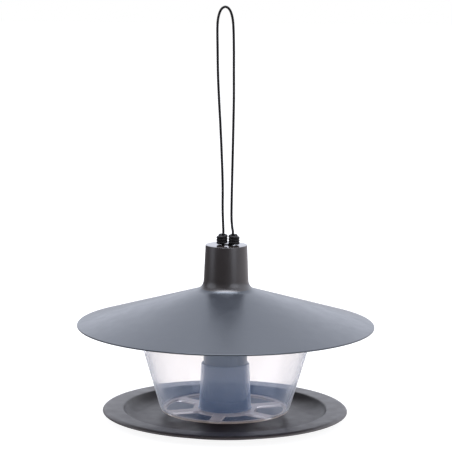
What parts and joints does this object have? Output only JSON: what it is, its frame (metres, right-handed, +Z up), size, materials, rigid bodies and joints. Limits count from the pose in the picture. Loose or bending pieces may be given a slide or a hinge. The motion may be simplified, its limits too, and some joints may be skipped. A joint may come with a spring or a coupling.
{
  "type": "bird feeder",
  "caption": "Hanging bird feeder: a wide cone roof with a neck, a clear tapered seed hopper with a central tube, and a round dished tray, hung on a cord loop.",
  "frame": {"origin": "on the ground at the middle of the tray's underside", "axes": "+Z up along the feeder's axis, -Y towards the viewer of the picture, +X to that viewer's right"},
  "size_m": [0.253, 0.253, 0.3521],
  "materials": {
    "tray_plastic": "satin black, fine moulded skin",
    "clear_plastic": "clear, polished",
    "roof_plastic": "satin anthracite, fine moulded skin",
    "cord": "braided",
    "disc_plastic": "matt"
  },
  "bodies": {
    "tray": {"feeding_tray": "tray_plastic"},
    "hopper": {"hopper_shell": "clear_plastic", "hopper_floor": "clear_plastic", "hopper_tube": "clear_plastic"},
    "hanger": {"hanging_cord": "cord", "upper_knot_left": "cord", "upper_knot_right": "cord", "cord_tail_left": "cord", "cord_tail_right": "cord", "anchor_disc": "disc_plastic"},
    "roof": {"roof_cone": "roof_plastic", "roof_neck": "roof_plastic", "roof_tube": "roof_plastic"}
  },
  "joints": [
    {"name": "hopper_lift", "type": "slide", "parent": "tray", "child": "hopper", "axis": [0, 0, 1], "range_m": [0, 0.06]},
    {"name": "roof_lift", "type": "slide", "parent": "hopper", "child": "hanger", "axis": [0, 0, 1], "range_m": [0, 0.1]},
    {"name": "roof_turn", "type": "hinge", "parent": "hanger", "child": "roof", "pos_m": [0, 0, 0.117], "axis": [0, 0, 1], "range_deg": [0, 35]}
  ]
}
